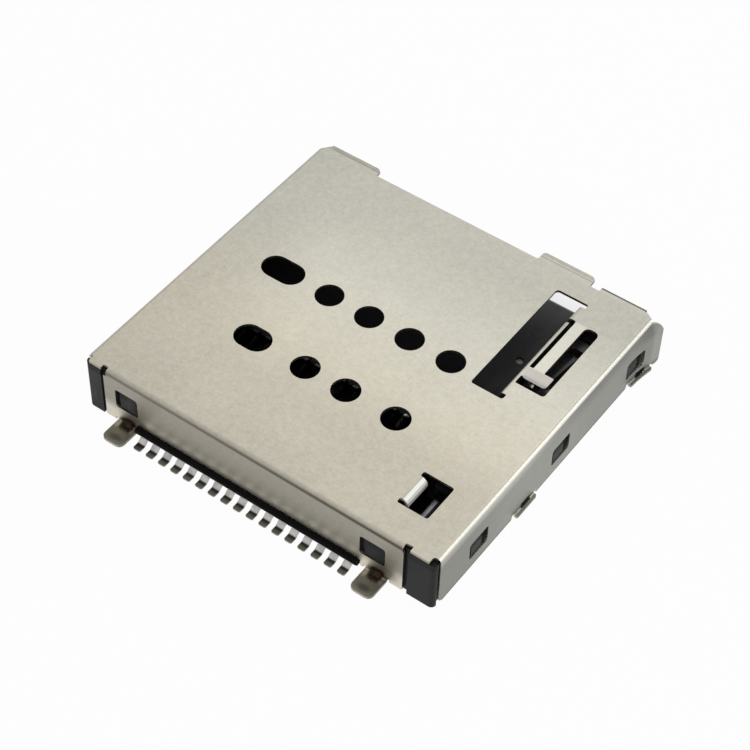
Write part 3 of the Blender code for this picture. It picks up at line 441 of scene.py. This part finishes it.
crust = steel.noise(1.5, detail=3, roughness=0.65)
sole = 1 - y.ramp(-0.5, -0.2)
colour = steel.blend(sole * 0.6, colour, SOLE_GREY)
for left in TAB_LEFT_EDGES:
    # The flange above the tab is made darker here.
    darker_above = steel.spot((left + 2.0, 0.0, 1.4), 1.9, stretch=(1.2, 0.5, 0.8)) * 0.6
    patch = steel.spot((left + 1.2, -1.9, 0.3), 1.0, stretch=(1.1, 0.55, 1)) * 0.6
    scorch = steel.spot((left + 1.35, -0.1, 0.4), 1.55, stretch=(1.25, 0.85, 1))
    scorch = scorch * (0.35 + 0.9 * crust)
    colour = steel.blend(darker_above, colour, DARK_ABOVE_TAB)
    colour = steel.blend(patch, colour, SOLDER_GREY)
    colour = steel.blend(scorch.ramp(0.15, 0.75) * 0.95, colour, BURNT_FLUX)
    for leg in (left + 0.3, left + 2.1):
        # The two legs are made paler.
        pale_leg_spot = steel.spot((leg, -0.45, 0.3), 0.6, stretch=(0.6, 1, 1)) * 0.9
        colour = steel.blend(pale_leg_spot, colour, PALE_LEG)
print("nodes with the stains:", len(steel.tree.nodes))

# %% [markdown]
# ## Flap, spring beam and feet
#
# The small parts cut from the sheet get painted light and shade of their own. The flap in the front
# window is painted dark, as painted shade, with a painted highlight along its upper strip, where it
# is also less metallic. The spring beam gets a painted highlight, its head painted shade, and the
# feet at the bottom of the right wall painted shade, and the feet are rougher. Then the colour goes
# to the shader, and the roughness and bump follow the tooth, except on the right bend, which is
# smoother.

# %% Small parts, and the cover's shader
FLAP_SHADOW = (0.01, 0.009, 0.009)
FLAP_HIGHLIGHT = (0.95, 0.94, 0.88)
BEAM_HIGHLIGHT = (0.6, 0.59, 0.51)
HEAD_SHADE = (0.4, 0.378, 0.355)
FOOT_SHADE = (0.17, 0.17, 0.15)

# Painted shade on the flap, with a painted highlight on its upper strip.
flap = steel.band(x, 33.5, 34.75) * steel.band(y, 4.3, 7.6) * (z < 6.47)
lit = z.ramp(5.5, 5.72)
colour = steel.blend(flap, colour, steel.blend(lit, FLAP_SHADOW, FLAP_HIGHLIGHT))
# Painted highlight on the spring beam.
beam = steel.band(x, 34.55, 35.85) * steel.band(y, 24.4, 32) * (z > 6.1)
colour = steel.blend(beam * (0.3 + 0.4 * tooth), colour, BEAM_HIGHLIGHT)
# Painted shade on the head of the spring beam.
head = steel.band(x, 34.2, 37) * steel.band(y, 22.5, 24.5) * (z > 5.8)
colour = steel.blend(head * 0.65, colour, HEAD_SHADE)
# Painted shade on the feet of the right wall.
foot = x.ramp(40.5, 40.56) * (1 - z.ramp(0.6, 0.9))
colour = steel.blend(foot * 0.55, colour, FOOT_SHADE)
steel.feed(Base_Color=colour, Metallic=1 - 0.7 * flap * lit,
           Roughness=0.34 + 0.1 * tooth + 0.04 * lines - 0.15 * right_bend + 0.15 * foot)
steel.bump((tooth * 0.7 + lines * 0.3) * (1 - 0.9 * right_bend), depth_mm=0.006)
nodes["shell_cover"].data.materials.clear()
nodes["shell_cover"].data.materials.append(steel.material)
print("cover finish:", len(steel.tree.nodes), "nodes")

# %% [markdown]
# ## Moulded black plastic
#
# The tray is a heat-proof moulding, matt where the mould was spark eroded. It is never pure
# black: a fine grain catches light, and glass fibre shows as paler flecks. The slider is another
# plastic, smoother, because it has to run. Both are the same recipe with other numbers.

# %% Recipe of a moulded plastic
def moulded_plastic(name, shade, grain_depth, roughness, sheen):
    """A plastic with its bump made, and the colour and roughness that are still to be fed."""
    plastic = Finish(name, IOR=1.5, Specular_IOR_Level=sheen)
    darker, paler, fleck = [[share * part for part in shade] for share in (0.8, 1.35, 2.6)]
    grain = plastic.noise(9.0, detail=2)
    flow = plastic.noise(0.35, detail=3, along=(1, 0.4, 1))
    colour = plastic.blend(flow.ramp(0.3, 0.75), darker, paler)
    colour = plastic.blend(grain.ramp(0.62, 0.75) * 0.5, colour, fleck)
    plastic.bump(grain, depth_mm=grain_depth)
    return plastic, colour, roughness + 0.12 * (grain - 0.5)


tray, tray_colour, tray_grain = moulded_plastic(
    "housing_black", (0.067, 0.067, 0.068), grain_depth=0.012, roughness=0.5, sheen=0.16)
runner, runner_colour, runner_grain = moulded_plastic(
    "slider_black", (0.016, 0.016, 0.018), grain_depth=0.004, roughness=0.36, sheen=0.5)
runner.feed(Base_Color=runner_colour, Roughness=runner_grain)
print("plastics:", tray.material.name, runner.material.name)

# %% [markdown]
# ## Where the tray is darker
#
# Little light gets under the cover, and the photograph shows the tray there nearly black. So the
# inside away from the long slot, the block of the wire link, the top edge of the front face, the
# sill under the front flange and the gaps at the windows each get a darker colour, painted shade,
# and sill and gaps are rougher too. The outer faces are made near black as well. The left column
# has pale streaks, and flux has stained the tray behind the soldering tabs.

# %% Light and dark parts of the tray
WINDOW_ENDS = (8.5, 22.2, 35.5)
OUTER_BLACK = (0.009, 0.0095, 0.01)
INNER_BLACK = (0.016, 0.015, 0.017)
DEEP_BLACK = (0.003, 0.003, 0.003)
GAP_BLACK = (0.002, 0.002, 0.002)
STREAK_GREY = (0.04, 0.039, 0.038)
FLUX_BROWN = (0.06, 0.035, 0.018)

across, along, up = tray.x, tray.y, tray.z
outside = 1 - along.ramp(0.7, 1.0) * across.ramp(1.0, 1.2) * (1 - across.ramp(39.4, 39.6))
tray_colour = tray.blend(outside * 0.9, tray_colour, OUTER_BLACK)
# Painted shade inside, away from the long slot, and on the block of the wire link.
under = (1 - across.ramp(27.5, 28.6) * along.ramp(20, 26)) * (1 - outside)
tray_colour = tray.blend(under, tray_colour, INNER_BLACK)
block = across.ramp(33.9, 34.1) * along.ramp(31.2, 31.4) * up.ramp(3, 4)
tray_colour = tray.blend(block * 0.9, tray_colour, DEEP_BLACK)
streaks = tray.noise(1.6, detail=3, along=(1, 1, 0.05))
column = (1 - along.ramp(0.55, 0.7)) * (up > 1.2) * (1 - across.ramp(5, 20))
tray_colour = tray.blend(column * streaks.ramp(0.35, 0.7), tray_colour, STREAK_GREY)
# Painted shade on the sill under the front flange.
sill = (1 - along.ramp(0.3, 0.5)) * (up < 1.2) * tray.band(across, 6, 33)
tray_colour = tray.blend(sill * 0.97, tray_colour, GAP_BLACK)
# Painted shade along the top edge of the front face.
notch = (1 - along.ramp(0.7, 0.9)) * up.ramp(5.2, 5.5)
tray_colour = tray.blend(notch * 0.85, tray_colour, DEEP_BLACK)
nub = tray.spot((5.0, -0.1, 0.5), 1.2) + tray.spot((34.2, -0.1, 0.5), 1.2)
tray_colour = tray.blend(nub * streaks.ramp(0.3, 0.6), tray_colour, FLUX_BROWN)
# Painted shade in the gaps at the windows.
gaps = sill
for end in WINDOW_ENDS:
    gaps = gaps + tray.band(along, end - 0.9, end + 0.2, 0.15) * (across > 39.0)
tray_colour = tray.blend(gaps * 0.95, tray_colour, GAP_BLACK)
tray.feed(Base_Color=tray_colour, Roughness=tray_grain + 0.45 * gaps)
for node, plastic in (("housing", tray), ("slider", runner)):
    nodes[node].data.materials.clear()
    nodes[node].data.materials.append(plastic.material)
    print(node, "->", plastic.material.name)

# %% [markdown]
# ## Tinned strip, drawn wire and ground pin
#
# The contacts are plated for soldering, so they are bright and a little blotchy where the bath
# ran thin. The link and the coil are drawn wire, with scratches along the wire. The pin is
# ground round, with fine rings. One recipe gives all four, with other colours and other stretch.

# %% Recipe of a bright metal
def bright_metal(name, pale, dull, roughness, scale, along):
    """A metal with blotches of two colours, and marks that are stretched along its length."""
    metal = Finish(name, Metallic=1.0)
    marks = metal.noise(scale, detail=2, along=along)
    blotch = metal.noise(0.9, detail=2)
    metal.feed(Base_Color=metal.blend(blotch.ramp(0.35, 0.65), dull, pale),
               Roughness=roughness + 0.12 * (marks - 0.5) + 0.08 * (blotch - 0.5))
    metal.bump(marks, depth_mm=0.004)
    return metal


wire = bright_metal("link_wire", (0.5, 0.49, 0.46), (0.4, 0.39, 0.36), roughness=0.24,
                    scale=5.0, along=(1, 0.1, 1)).material
coil = bright_metal("spring_wire", (0.3, 0.29, 0.27), (0.2, 0.19, 0.18), roughness=0.3,
                    scale=5.0, along=(1, 1, 1)).material
ground = bright_metal("pin_steel", (0.2, 0.19, 0.21), (0.14, 0.135, 0.15), roughness=0.34,
                      scale=6.0, along=(0.2, 4, 0.2)).material
print("metals:", wire.name, coil.name, ground.name)

# %% [markdown]
# ## The contacts
#
# A contact is bright on the slope of its tail. Its sole is made dark, black at the heel and grey at
# the toe, and under the cover it is painted nearly black, painted shade where little light reaches.
# One contact keeps its bright colour there, a painted glint that shows through a vent.

# %% Finish of the contacts, and who wears what
HEEL_BLACK = (0.02, 0.02, 0.019)
TOE_GREY = (0.19, 0.19, 0.165)
UNDER_COVER_SHADE = (0.012, 0.011, 0.012)


def contact_tin():
    """Tin on the slope, a dark sole, and painted shade on the strip under the cover, but for one
    painted glint.
    """
    tin = bright_metal("contact_tin", (0.48, 0.47, 0.45), (0.36, 0.35, 0.33), roughness=0.32,
                       scale=4.0, along=(1, 0.2, 1))
    plain = Value(tin, tin.shader.inputs["Base Color"].links[0].from_socket)
    # The sole is made dark: black at the heel, grey at the toe.
    sole = 1 - tin.y.ramp(-1.1, -0.96)
    toe = 1 - tin.y.ramp(-1.6, -1.2)
    colour = tin.blend(sole * 0.93, plain, tin.blend(toe, HEEL_BLACK, TOE_GREY))
    # Painted glint: one contact keeps its bright colour where a vent shows it.
    glint = tin.band(tin.x, 26.4, 27.0) * tin.band(tin.y, 13.3, 15.1, 0.25)
    # Painted shade on the strip under the cover.
    hidden = tin.y.ramp(0.2, 2) * (1 - glint)
    tin.feed(Base_Color=tin.blend(hidden * 0.97, colour, UNDER_COVER_SHADE))
    return tin.material


tin = contact_tin()
METALS = {"cam_link": wire, "return_spring": coil, "guide_pin": ground}
METALS.update({node: tin for node in nodes if node.startswith("contact_")})
for node, metal in METALS.items():
    nodes[node].data.materials.clear()
    nodes[node].data.materials.append(metal)
print("bright nodes:", len(METALS))

# %% [markdown]
# ## Edges that catch light
#
# No real edge is perfectly sharp. A stamped sheet has a rolled-over rim on one side, and a
# moulding has the radius of its tool. The frame's solids are sharp, to stay simple, so all but
# the round wires get a narrow bevel as a modifier. It changes no mesh: it only adds the thin
# line of light that tells the eye how thick the sheet is.

# %% Bevel every solid by its kind
SAME_POINT_MM = 0.002
SAME_PLANE_DEGREES = 0.4
CONTACT_EDGE_MM = 0.025
EDGE_MM = {"shell_cover": 0.045, "housing": 0.06, "slider": 0.12, "guide_pin": 0.04}


def soften(thing, width_mm, segments=2, angle=38):
    """Joins doubled points and flat faces, then rounds each edge sharper than the angle."""
    weld = thing.modifiers.new("join_corners", "WELD")
    weld.merge_threshold = SAME_POINT_MM * MM
    flat = thing.modifiers.new("join_flat_faces", "DECIMATE")
    flat.decimate_type, flat.angle_limit = "DISSOLVE", math.radians(SAME_PLANE_DEGREES)
    bevel = thing.modifiers.new("worn_edge", "BEVEL")
    bevel.width, bevel.segments = width_mm * MM, segments
    bevel.limit_method, bevel.angle_limit = "ANGLE", math.radians(angle)
    bevel.use_clamp_overlap = True
    bevel.harden_normals = True


for node, thing in nodes.items():
    if node.startswith("contact_"):
        soften(thing, CONTACT_EDGE_MM, segments=1)
    elif node in EDGE_MM:
        soften(thing, EDGE_MM[node])
print("softened:", sum(bool(thing.modifiers) for thing in nodes.values()))

# %% [markdown]
# ## Marks of the mould
#
# The pins that push a moulding out of its tool leave shallow round marks. One of them shows on
# the floor of the tray through the large slot. It is a turned ring, spun from a small profile,
# because the rim of such a mark stands up by a hair.

# %% Ejector marks on the tray's floor
def placed(mesh, name, material):
    """Turns a mesh under construction into an object of that material."""
    bmesh.ops.recalc_face_normals(mesh, faces=mesh.faces)
    data = bpy.data.meshes.new(name)
    mesh.to_mesh(data)
    mesh.free()
    piece = bpy.data.objects.new(name, data)
    scene.collection.objects.link(piece)
    data.materials.append(material)
    return piece


def turned(name, centre, profile, material, steps=40):
    """A ring spun round an upright axis from (radius, height) points in millimetres."""
    mesh = bmesh.new()
    middle = (Vector(centre) + CORNER) * MM
    points = [mesh.verts.new(middle + Vector((r, 0, height)) * MM) for r, height in profile]
    edges = [mesh.edges.new(pair) for pair in zip(points, points[1:] + points[:1])]
    bmesh.ops.spin(mesh, geom=points + edges, cent=middle, axis=(0, 0, 1),
                   angle=2 * math.pi, steps=steps, use_merge=True)
    for face in mesh.faces:
        face.smooth = True
    return placed(mesh, name, material)


RIM = [(0.62, -0.02), (0.64, 0.015), (0.67, 0.03), (0.7, 0.015), (0.72, -0.02)]
MARKS = [(30.25, 32.7, 1.5), (10.5, 31.0, 1.5), (20.0, 31.0, 1.5)]
for number, centre in enumerate(MARKS):
    ring = turned(f"ejector_mark_{number}", centre, RIM, tray.material)
    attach(ring, "base")
print("rims:", len(MARKS))

# %% [markdown]
# ## The pale hole in the floor
#
# The hole beside that mark looks pale in the photograph. A thin pale disc lies in it, painted light
# that stands in for the light seen through the hole, so that the hole reads as a light dot through
# the slot.

# %% Pale disc in the ejector hole, painted light
HOLE = (30.85, 28.55, 1.13)
DISC = [(0.0, 0.0), (0.55, 0.0), (0.55, 0.05), (0.0, 0.05)]
# Painted light: a pale disc for the light seen through the hole.
disc_light = Finish("painted_hole_light", Roughness=0.6)
disc_light.feed(Base_Color=disc_light.blend(disc_light.noise(3.0), (0.5, 0.5, 0.46), (0.8, 0.8, 0.75)))
pale_disc = turned("pale_hole_disc", HOLE, DISC, disc_light.material)
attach(pale_disc, "base")
print("skin faces:", len(pale_disc.data.polygons))

# %% [markdown]
# ## Black nubs at the feet
#
# Where the right wall's feet leave the wall, the photograph shows a dark spot between the foot
# and the tray. Each is a small upright plug, grown from its plan.

# %% Plugs beside the feet
def foot_plug(name, corners, height):
    """A black nub between a side wall's foot and the tray, from its plan in millimetres."""
    mesh = bmesh.new()
    plan = [mesh.verts.new((Vector((*corner, 0.01)) + CORNER) * MM) for corner in corners]
    grown = bmesh.ops.extrude_face_region(mesh, geom=[mesh.faces.new(plan)])["geom"]
    lifted = [part for part in grown if isinstance(part, bmesh.types.BMVert)]
    bmesh.ops.translate(mesh, verts=lifted, vec=(0, 0, height * MM))
    plug = placed(mesh, name, tray.material)
    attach(plug, "base")
    return plug


FRONT_PLAN = [(40.47, 14.25), (40.52, 14.25), (40.52, 15.55), (40.47, 15.55)]
REAR_PLAN = [(40.47, 34.45), (40.55, 34.45), (40.72, 35.75), (40.47, 35.75)]
plugs = [foot_plug("front_foot_plug", FRONT_PLAN, 0.5), foot_plug("rear_foot_plug", REAR_PLAN, 0.6)]
print("plugs:", [plug.name for plug in plugs])

# %% [markdown]
